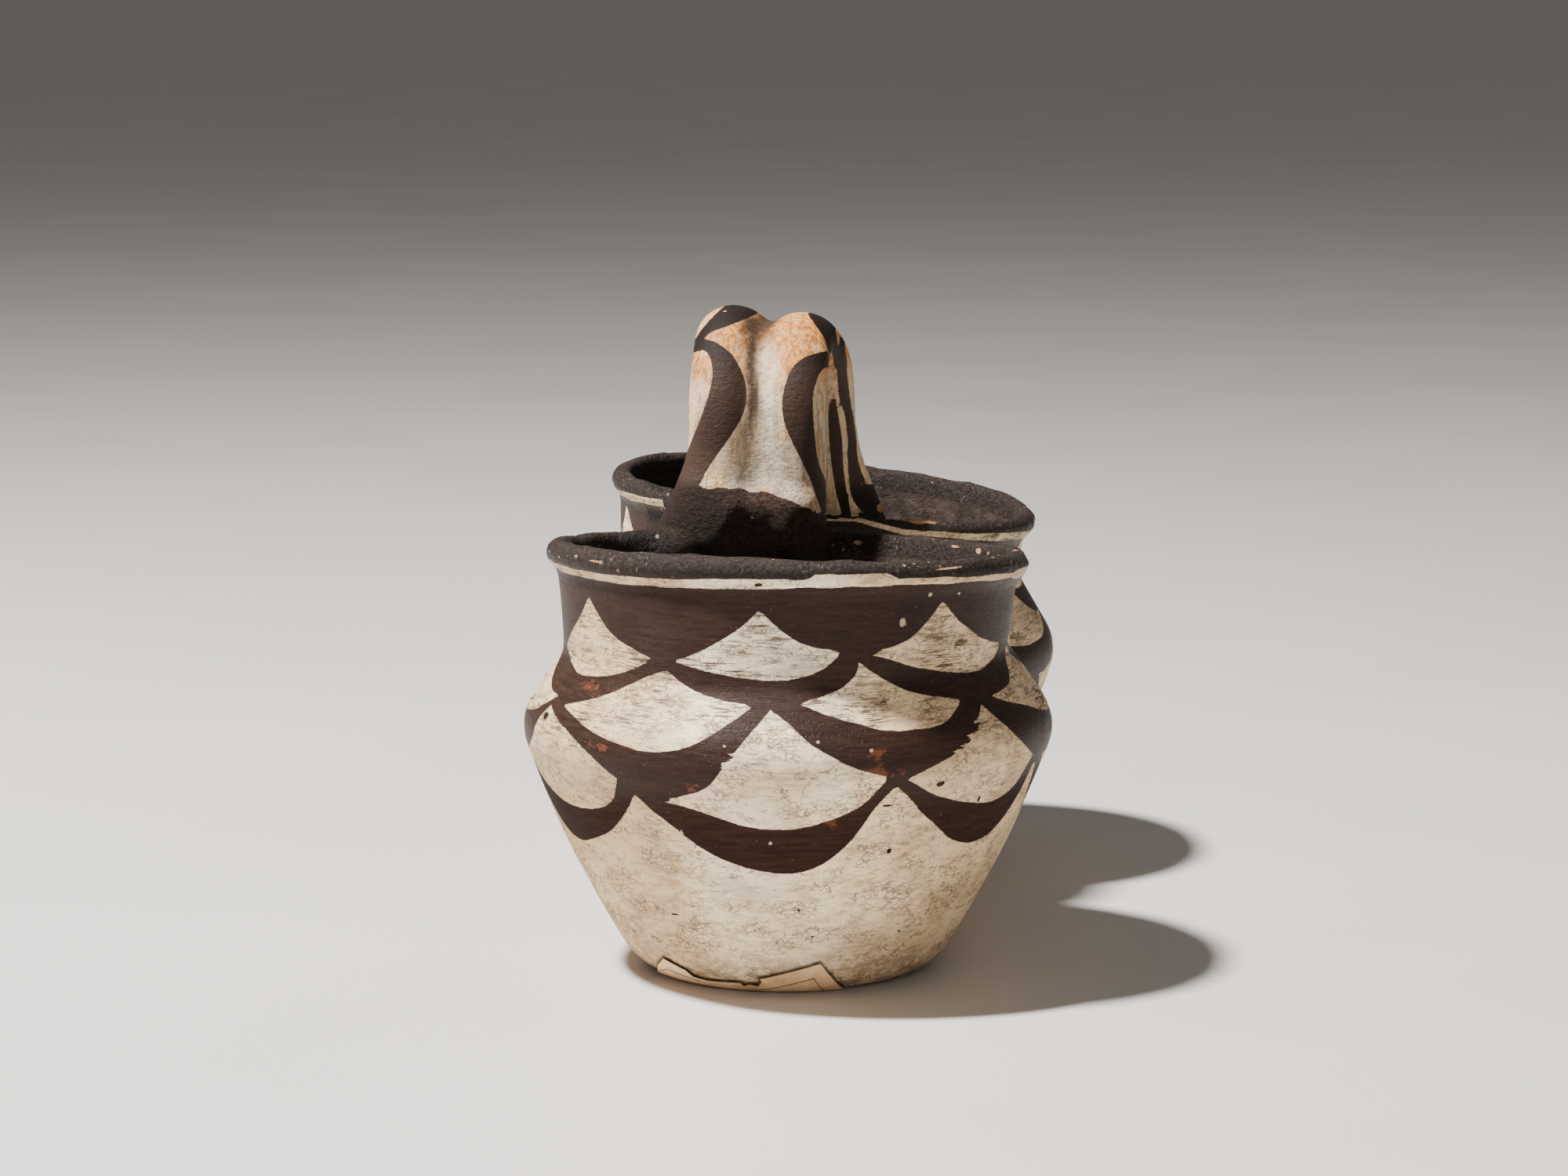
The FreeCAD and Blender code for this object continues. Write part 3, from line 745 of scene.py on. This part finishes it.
class Graph:
    """A new material whose shader nodes are written in order."""

    def __init__(self, name):
        self.material = bpy.data.materials.new(name)
        self.material.use_nodes = True
        self.tree = self.material.node_tree
        self.shader = self.tree.nodes["Principled BSDF"]
        self.position = self.add("ShaderNodeTexCoord").outputs["Object"]

    def add(self, kind, settings=None, inputs=None):
        made = self.tree.nodes.new(kind)
        for key, value in (settings or {}).items():
            setattr(made, key, value)
        for key, value in (inputs or {}).items():
            self.put(made.inputs[key], value)
        return made

    def put(self, socket, value):
        """Links a socket to another one, or sets it to a constant."""
        if isinstance(value, bpy.types.NodeSocket):
            self.tree.links.new(value, socket)
        else:
            socket.default_value = value

    def attribute(self, name):
        return self.add("ShaderNodeAttribute", {"attribute_name": name}).outputs["Fac"]

    def maths(self, operation, a, b=0.0, clamp=False):
        made = self.add("ShaderNodeMath", {"operation": operation, "use_clamp": clamp})
        self.put(made.inputs[0], a)
        self.put(made.inputs[1], b)
        return made.outputs[0]

    def times(self, a, b, clamp=False):
        return self.maths("MULTIPLY", a, b, clamp)

    def step(self, value, low, high, to_low=0.0, to_high=1.0):
        """0 below low, 1 above high, smooth between; low may be above high."""
        made = self.add(
            "ShaderNodeMapRange",
            {"interpolation_type": "SMOOTHSTEP"},
            {"Value": value, "From Min": low, "From Max": high, "To Min": to_low, "To Max": to_high},
        )
        return made.outputs["Result"]

    def place(self, scale=(1, 1, 1)):
        """Position in millimetres, stretched."""
        made = self.add("ShaderNodeVectorMath", {"operation": "MULTIPLY"})
        self.put(made.inputs[0], self.position)
        made.inputs[1].default_value = [s / MM for s in scale]
        return made.outputs[0]

    def height(self):
        """Millimetres above the floor."""
        place = self.add("ShaderNodeSeparateXYZ")
        self.put(place.inputs[0], self.place())
        return place.outputs["Z"]

    def noise(self, scale, size, detail=3.0, roughness=0.55):
        """Noise with features about size millimetres apart where scale is 1, farther where it is less."""
        made = self.add(
            "ShaderNodeTexNoise",
            None,
            {"Vector": self.place(scale), "Scale": 1 / size, "Detail": detail, "Roughness": roughness},
        )
        return made.outputs["Fac"]

    def spots(self, size):
        """Distance from the nearest of many scattered points, as a share of their spacing."""
        made = self.add("ShaderNodeTexVoronoi", None, {"Vector": self.place(), "Scale": 1 / size})
        return made.outputs["Distance"]

    def crazing(self, size):
        """Hairlines that wander between cells about size millimetres apart, mostly level ones."""
        sway = self.add("ShaderNodeTexNoise", None, {"Vector": self.place(), "Scale": 0.45, "Detail": 2.0})
        swayed = self.add("ShaderNodeVectorMath", {"operation": "ADD"})
        self.put(swayed.inputs[0], self.place((0.55, 0.55, 1.0)))
        stretch = self.add("ShaderNodeVectorMath", {"operation": "SCALE"}, {"Scale": 3.0})
        self.put(stretch.inputs[0], sway.outputs["Color"])
        self.put(swayed.inputs[1], stretch.outputs[0])
        cells = self.add("ShaderNodeTexVoronoi", {"feature": "DISTANCE_TO_EDGE"}, {"Scale": 1 / size})
        self.put(cells.inputs["Vector"], swayed.outputs[0])
        return self.step(cells.outputs["Distance"], 0.10, 0.02)

    def roughened(self, value, noise, amount):
        """A value made uneven by a noise, by up to half the amount either way."""
        return self.maths("ADD", value, self.times(self.maths("SUBTRACT", noise, 0.5), amount))

    def closest(self, places, noise, ragged):
        """1 on small marks of given half sizes, with uneven edges, 0 elsewhere."""
        nearest = FAR
        for point, wide, tall in places:
            scale = (1 / wide, 1 / wide, 1 / tall)
            away = self.add("ShaderNodeVectorMath", {"operation": "DISTANCE"})
            self.put(away.inputs[0], self.place(scale))
            away.inputs[1].default_value = [float(p * s) for p, s in zip(point, scale)]
            nearest = self.maths("MINIMUM", away.outputs["Value"], nearest)
        return self.step(self.roughened(nearest, noise, ragged), 1.25, 0.95)

    def mix(self, share, a, b):
        """One number fading into another."""
        made = self.add("ShaderNodeMix", {"data_type": "FLOAT"})
        for number, value in ((0, share), (2, a), (3, b)):
            self.put(made.inputs[number], value)
        return made.outputs[0]

    def blend(self, share, a, b):
        """One colour fading into another."""
        made = self.add("ShaderNodeMix", {"data_type": "RGBA"})
        self.put(made.inputs[0], share)
        for number, value in ((6, a), (7, b)):
            self.put(made.inputs[number], (*value, 1) if isinstance(value, tuple) else value)
        return made.outputs[2]

    def over(self, under, share, amount, colour):
        """A colour laid over another, as dense as the share times the amount."""
        return self.blend(self.times(share, amount), under, colour)

    def relief(self, height, strength=1.0):
        """Bumps of the given height in millimetres."""
        made = self.add("ShaderNodeBump", None, {"Strength": strength, "Distance": MM, "Height": height})
        self.put(self.shader.inputs["Normal"], made.outputs["Normal"])


def tone(red, green, blue):
    """A colour given as on screen, 0 to 255."""
    shares = [c / 255 for c in (red, green, blue)]
    return tuple(((s + 0.055) / 1.055) ** 2.4 if s > 0.04 else s / 12.92 for s in shares)


def clay_noises(g):
    """Noises that more than one layer of the clay reads."""
    return SimpleNamespace(
        patch=g.noise((0.8, 0.8, 1.6), 11, 4, 0.6),
        streak=g.noise((0.14, 0.14, 1.2), 1.0, 5, 0.62),
        speck=g.noise((1, 1, 1), 0.6, 2, 0.6),
        brush=g.noise((0.2, 0.2, 1.8), 1.6, 5, 0.65),
        cover=g.noise((1, 1, 1), 17, 3),
        grit=g.noise((1, 1, 1), 1.2, 5, 0.7),
        dust=g.noise((1, 1, 1), 5, 6, 0.7),
        fleck=g.noise((1, 1, 1), 0.9, 3, 0.75),
    )


def slip_scratches(g, n):
    """Level scratches, fine hairs, hairline cracks and stained specks of the slip, 0 to 1."""
    scuff = g.attribute("scuff")
    worn = g.times(g.step(n.patch, 0.36, 0.6, 0.25, 1.0), scuff)
    fine = g.noise((0.16, 0.16, 1.9), 0.55, 3, 0.65)
    broken = g.step(g.noise((0.6, 0.6, 1.2), 6, 4, 0.65), 0.44, 0.58)
    stained = g.step(g.noise((1, 1, 1), 2.6, 5, 0.7), 0.42, 0.62)
    return SimpleNamespace(
        smudge=g.times(g.step(g.noise((0.35, 0.35, 1.7), 6, 4, 0.6), 0.5, 0.66), scuff),
        streaky=g.times(g.step(n.streak, 0.545, 0.575), worn),
        hair=g.times(g.step(fine, 0.55, 0.60), worn),
        cracks=g.times(g.crazing(1.5), broken),
        foot=g.times(g.step(g.height(), 15.0, 3.0), stained),
    )


def slip_colour(g, n, scratches):
    """Warm white, mottled and flaked, with scratches, cracks and specks; darker at the front jar's sides
    (painted shade on the left, wear on the right) and all over the rear jar, and lighter at the front
    jar's front (partly cleaner slip, partly painted light).
    """
    cloud = g.noise((1, 1, 1.3), 24, 4, 0.6)
    mottle = g.noise((0.5, 0.5, 1.2), 2.6, 6, 0.78)
    flake = g.noise((0.6, 0.6, 1.3), 3.6, 5, 0.72)
    rust = g.noise((1, 1, 1.2), 9, 4, 0.7)
    colour = g.blend(g.step(cloud, 0.36, 0.66), tone(252, 228, 188), tone(236, 209, 166))
    for share, amount, layer in (
        (g.step(n.patch, 0.48, 0.64), 0.6, tone(196, 170, 136)),
        (g.step(mottle, 0.49, 0.58), 0.6, tone(158, 133, 104)),
        (g.step(flake, 0.60, 0.66), 0.7, tone(250, 232, 200)),
        # Darker sides of the front jar (painted shade on the left, wear on the right) and its lighter
        # front (partly cleaner slip, partly painted light)
        (g.attribute("aged_and_shaded"), 0.5, tone(176, 148, 114)),
        (g.attribute("clean_and_lit"), 0.85, tone(255, 240, 212)),
        (scratches.smudge, 0.5, tone(150, 134, 116)),
        (scratches.streaky, 0.9, tone(84, 68, 54)),
        (scratches.hair, 0.85, tone(84, 70, 58)),
        (g.step(n.speck, 0.64, 0.72), 0.65, tone(92, 74, 58)),
        (scratches.cracks, 0.7, tone(96, 78, 62)),
        (g.step(rust, 0.60, 0.74), 0.4, tone(202, 158, 116)),
        (scratches.foot, 0.75, tone(138, 114, 90)),
    ):
        colour = g.over(colour, share, amount, layer)
    return colour


def paint_colour(g, n, chips):
    """Dark mineral paint: brown black, brushed along, paler on the handle, rubbed and chipped."""
    ruddy = g.noise((0.7, 0.7, 1.2), 4, 5, 0.75)
    rub = g.step(g.roughened(g.attribute("rub"), ruddy, 9.0), 0.0, 0.9)
    rubbed = g.maths("MAXIMUM", rub, g.times(g.step(ruddy, 0.68, 0.76), 0.5))
    colour = g.blend(g.step(n.brush, 0.35, 0.68), tone(42, 28, 22), tone(54, 38, 31))
    for share, amount, layer in (
        (g.step(n.cover, 0.48, 0.75), 0.6, tone(38, 26, 22)),
        (g.step(n.speck, 0.70, 0.76), 0.5, tone(150, 128, 108)),
        (g.attribute("strand"), 0.4, tone(76, 60, 52)),
        (g.attribute("smoked"), 0.85, tone(15, 10, 8)),
        (g.attribute("coarse"), 0.75, tone(28, 18, 14)),
        (rubbed, 0.6, tone(120, 70, 46)),
        (chips, 0.85, tone(186, 164, 138)),
    ):
        colour = g.over(colour, share, amount, layer)
    return colour


def bare_colour(g, n, slip, spills):
    """The slip, and on the handle fired cream: orange crowns, grey plaster, smoke in the groove."""
    grey = g.noise((1, 1, 0.5), 7, 5, 0.65)
    run = g.noise((1.6, 1.6, 0.25), 2.2, 5, 0.7)
    blotch = g.noise((1, 1, 0.8), 5, 5, 0.7)
    flaking = g.step(g.noise((1, 1, 0.7), 3.2, 5, 0.75), 0.47, 0.53)
    drawn = g.step(g.noise((1, 1, 0.3), 2.6, 5, 0.7), 0.1, 0.4)
    fired = g.blend(g.step(grey, 0.36, 0.66), tone(220, 190, 146), tone(196, 176, 150))
    fired = g.over(fired, g.step(run, 0.48, 0.58), 0.6, tone(140, 106, 70))
    fired = g.over(fired, g.step(n.grit, 0.52, 0.66), 0.5, tone(134, 114, 94))
    orange = g.blend(g.step(run, 0.42, 0.6), tone(198, 138, 74), tone(146, 88, 42))
    plaster = g.blend(flaking, tone(172, 158, 142), tone(212, 200, 180))
    plaster = g.over(plaster, g.step(n.grit, 0.5, 0.6), 0.5, tone(138, 124, 108))
    warmed = g.times(g.attribute("blush"), g.step(blotch, 0.25, 0.5), True)
    ashen = g.times(g.attribute("ash"), g.step(blotch, 0.75, 0.4), True)
    sooty = g.times(g.attribute("soot"), drawn, True)
    ochre = g.step(g.roughened(g.attribute("ochre"), n.grit, 2.5), 0.0, 0.6)
    colour = g.blend(g.attribute("strand"), slip, fired)
    colour = g.blend(warmed, colour, orange)
    colour = g.over(colour, ashen, 0.85, plaster)
    colour = g.over(colour, sooty, 0.95, tone(46, 37, 31))
    colour = g.blend(ochre, colour, tone(206, 150, 84))
    return g.blend(spills, colour, tone(36, 26, 22))


def slip_shown(g, n):
    """1 on bare slip, 0 on paint: crisp, but brushed dry at the ends of some bands."""
    line_height = g.maths("ABSOLUTE", g.attribute("line_height"))
    line = g.maths("SUBTRACT", g.attribute("line_half"), line_height)
    white = g.maths("MAXIMUM", g.attribute("white"), line)
    dry = g.times(g.step(g.attribute("dry"), -0.2, 0.5), g.maths("SUBTRACT", n.streak, 0.5))
    edge = g.roughened(white, g.noise((0.6, 0.6, 1.4), 0.9, 3, 0.6), 0.45)
    edge = g.maths("ADD", edge, g.times(dry, -9.0))
    return g.step(edge, -0.1, 0.1)


def rough_colour(g, n, colour, painted, lip_chips):
    """Adds the bare inside of the jars, painted light on the shaded foot of the handle, the soiled,
    chipped lips and a painted shadow along the label's edge.
    """
    lip = g.attribute("lip")
    rough_clay = g.blend(g.step(n.dust, 0.34, 0.68), tone(40, 31, 27), tone(69, 58, 51))
    # A lighter gritty brown for the shaded right of the front leg's foot: painted light
    foot_fill_colour = g.blend(g.step(n.grit, 0.4, 0.62), tone(54, 39, 33), tone(78, 60, 51))
    soiled = g.blend(g.step(n.fleck, 0.4, 0.62), tone(28, 23, 21), tone(56, 49, 45))
    flecks = g.blend(g.step(n.dust, 0.45, 0.55), tone(206, 190, 166), tone(196, 128, 80))
    knocked = g.blend(g.step(n.speck, 0.45, 0.6), tone(178, 120, 80), tone(206, 184, 154))
    worn = g.times(g.step(n.fleck, 0.64, 0.70), g.step(n.cover, 0.48, 0.62))
    gritty = g.maths("MAXIMUM", lip, g.attribute("coarse"))
    streaked = g.step(g.roughened(g.attribute("streak"), n.dust, 1.5), 0.0, 0.4)
    colour = g.blend(g.attribute("inner"), colour, rough_clay)
    for share, amount, layer in (
        # painted light on the shaded foot of the front leg
        (g.times(g.attribute("foot_fill_light"), painted), 0.85, foot_fill_colour),
        (g.times(lip, painted), 0.8, soiled),
        (g.times(worn, lip), 0.9, flecks),
        (g.times(g.step(g.spots(6.5), 0.07, 0.045), gritty), 0.9, flecks),
        (lip_chips, 0.85, knocked),
        (streaked, 0.85, tone(206, 152, 104)),
        # Painted shadow: a dark ring on the clay within about a millimetre of the label's edge
        (g.step(g.attribute("label_edge_shadow"), 1.1, 0.5), 0.85, tone(58, 40, 30)),
    ):
        colour = g.over(colour, share, amount, layer)
    return colour


def clay_gloss(g, n, shown):
    """Satin paint and slip, matt clay inside, on the crowns and low on the flanks."""
    gloss = g.mix(shown, g.step(n.brush, 0.3, 0.7, 0.4, 0.5), g.step(n.patch, 0.35, 0.7, 0.42, 0.66))
    gloss = g.mix(g.attribute("inner"), gloss, 0.7)
    gloss = g.mix(g.attribute("lip"), gloss, g.step(n.fleck, 0.3, 0.7, 0.3, 0.6))
    gloss = g.mix(g.attribute("smoked"), gloss, 0.62)
    flank = g.step(g.height(), 58.0, 46.0)
    g.put(g.shader.inputs["Roughness"], g.mix(flank, gloss, 0.75))
    g.put(g.shader.inputs["Specular IOR Level"], g.mix(flank, 0.12, 0.04))


def clay_relief(g, n, scratches, chips):
    """Brushed ridges, cracks and pits, and grit on the lips, inside and at the handle's feet."""
    rough = g.times(g.maths("MAXIMUM", g.attribute("coarse"), g.attribute("inner")), 0.75)
    rough = g.maths("ADD", rough, g.times(g.attribute("lip"), 0.6))
    rough = g.maths("ADD", rough, g.mix(g.attribute("strand"), 0.08, 0.3))
    height = g.times(n.grit, rough)
    for depth, amount in (
        (n.streak, 0.10), (scratches.hair, 0.04), (scratches.cracks, 0.05), (chips, 0.12),
        (scratches.foot, 0.15),
    ):
        height = g.maths("SUBTRACT", height, g.times(depth, amount))
    g.relief(height)


def clay_material(chip_places, spill_places, lip_chip_places):
    g = Graph("painted_clay")
    n = clay_noises(g)
    scratches = slip_scratches(g, n)
    chips = g.maths("MAXIMUM", g.step(g.spots(16), 0.045, 0.03), g.closest(chip_places, n.speck, 1.6))
    spills = g.closest(spill_places, n.grit, 1.8)
    lip_chips = g.closest(lip_chip_places, n.grit, 2.2)
    shown = slip_shown(g, n)
    bare = bare_colour(g, n, slip_colour(g, n, scratches), spills)
    colour = g.blend(shown, paint_colour(g, n, chips), bare)
    colour = rough_colour(g, n, colour, g.step(shown, 0.6, 0.2), lip_chips)
    g.put(g.shader.inputs["Base Color"], colour)
    clay_gloss(g, n, shown)
    clay_relief(g, n, scratches, chips)
    return g.material


def label_material():
    """Yellowed paper with fibres, stains and the two dark lines of its border."""
    g = Graph("label_paper")
    fibre = g.noise((1, 1, 1), 1.2, 4, 0.7)
    stain = g.noise((1, 1, 1), 7, 3)
    paper = g.blend(g.step(stain, 0.35, 0.7), tone(246, 212, 168), tone(224, 180, 132))
    paper = g.over(paper, g.step(fibre, 0.55, 0.75), 0.35, tone(170, 126, 82))
    paper = g.over(paper, g.step(g.attribute("border"), 0.28, 0.12), 0.75, tone(74, 50, 34))
    g.put(g.shader.inputs["Base Color"], paper)
    g.shader.inputs["Roughness"].default_value = 0.85
    g.relief(g.times(fibre, 0.06), 0.6)
    return g.material


def floor_material():
    g = Graph("studio_floor")
    haze = g.noise((1, 1, 1), 180, 2)
    colour = g.blend(g.step(haze, 0.3, 0.7), tone(209, 205, 201), tone(204, 200, 196))
    g.put(g.shader.inputs["Base Color"], colour)
    g.shader.inputs["Roughness"].default_value = 0.42
    return g.material


vessel.data.materials.clear()
vessel.data.materials.append(
    clay_material(on_front(vessel, CHIPS), on_front(vessel, SPILLS), on_surface(vessel, LIP_CHIPS))
)


# The paper label

LABEL_LIFT = 0.45
LABEL_TOP = 14.0  # no part of the label lies higher
LONGEST_EDGE = 0.6
# Dark lines of the label's border, as points across and up
BORDERS = [
    [(-9.5, 0.2), (-3.0, 2.1), (6.4, 5.1), (8.8, 0.6)],
    [(-31.5, 2.9), (-29.6, 4.4), (-21.3, 2.3)],
]


def cut_finer(item):
    """Halves long edges until the mesh is fine enough to hold the border."""
    mesh = bmesh.new()
    mesh.from_mesh(item.data)
    for _ in range(4):
        long = [edge for edge in mesh.edges if edge.calc_length() > LONGEST_EDGE * MM]
        bmesh.ops.subdivide_edges(mesh, edges=long, cuts=1)
    bmesh.ops.triangulate(mesh, faces=mesh.faces)
    mesh.to_mesh(item.data)
    mesh.free()


def distance_to_line(places, line):
    nearest = np.full(len(places), FAR)
    for a, b in zip(line, line[1:]):
        a, b = np.array(a), np.array(b)
        t = np.clip(((places - a) @ (b - a)) / ((b - a) @ (b - a)), 0, 1)
        gap = places - a - np.outer(t, b - a)
        nearest = np.minimum(nearest, np.hypot(gap[:, 0], gap[:, 1]))
    return nearest


def paper():
    """The label, lifted a little off the heel, with its border stored at the vertices."""
    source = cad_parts["paper_label"]
    item = new_object("old_label", source.data.copy())
    cut_finer(item)
    points = points_of(item)
    points += LABEL_LIFT * away_from(points, FRONT.middle)
    move_points(item, points)
    from_axis = points - FRONT.middle
    across = from_axis[:, 0] * math.cos(VIEW_TURN) + from_axis[:, 1] * math.sin(VIEW_TURN)
    places = np.column_stack([across, points[:, 2]])
    give(item, "border", np.minimum.reduce([distance_to_line(places, line) for line in BORDERS]))
    item.data.materials.clear()
    item.data.materials.append(label_material())
    return item


def paint_label_edge_shadow(item, sheet):
    """Stores how many millimetres the clay lies from the label, for the painted shadow in the gap along
    its edge.
    """
    tree = KDTree(len(sheet.data.vertices))
    for vertex in sheet.data.vertices:
        tree.insert(vertex.co, vertex.index)
    tree.balance()
    low = LABEL_TOP * MM
    give(item, "label_edge_shadow", [tree.find(v.co)[2] / MM if v.co.z < low else FAR for v in item.data.vertices])


label = paper()
paint_label_edge_shadow(vessel, label)
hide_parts("paper_label")
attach(label, "root")


# Floor, lights and camera

def floor_of(reach):
    """A level sheet that reaches so many metres each way."""
    mesh = bpy.data.meshes.new("floor")
    corners = [(-reach, -reach, 0), (reach, -reach, 0), (reach, reach, 0), (-reach, reach, 0)]
    mesh.from_pydata(corners, [], [(0, 1, 2, 3)])
    made = new_object("floor", mesh)
    made.data.materials.append(floor_material())
    return made


floor = floor_of(reach=60.0)


def camera():
    """The photograph's view: a long lens, a little above the rims, a little to the right."""
    pitch = math.radians(8.0)
    distance = 1073.0
    aside = 0.8
    height = 245.9
    ahead = Vector((-math.sin(VIEW_TURN), math.cos(VIEW_TURN), 0))
    right = Vector((math.cos(VIEW_TURN), math.sin(VIEW_TURN), 0))
    place = Vector((0, FRONT.middle[1], height)) - distance * ahead - aside * right
    data = bpy.data.cameras.new("camera")
    data.lens = 100
    data.sensor_width = 36
    data.clip_start = 0.05
    data.clip_end = 200
    item = new_object("camera", data)
    item.location = place * MM
    item.rotation_euler = (math.pi / 2 - pitch, 0, VIEW_TURN)
    bpy.context.scene.camera = item


def lamp(name, place, size, power, colour):
    """A round lamp turned to the middle of the vessel, in metres and watts."""
    data = bpy.data.lights.new(name, "AREA")
    data.shape = "DISK"
    data.size = size
    data.energy = power
    data.color = colour
    item = new_object(name, data)
    item.location = place
    target = Vector((0, 0, 0.08))
    item.rotation_euler = (target - Vector(place)).to_track_quat("-Z", "Y").to_euler()


camera()
lamp("key", place=(-0.62, -0.28, 1.46), size=0.13, power=97, colour=(1.0, 0.97, 0.93))
lamp("fill", place=(0.15, -2.2, 0.65), size=1.5, power=12, colour=(1.0, 0.95, 0.9))

world = bpy.data.worlds.new("studio")
world.use_nodes = True
backdrop = world.node_tree.nodes["Background"]
backdrop.inputs["Color"].default_value = (1.0, 0.95, 0.9, 1)
backdrop.inputs["Strength"].default_value = 0.165
bpy.context.scene.world = world
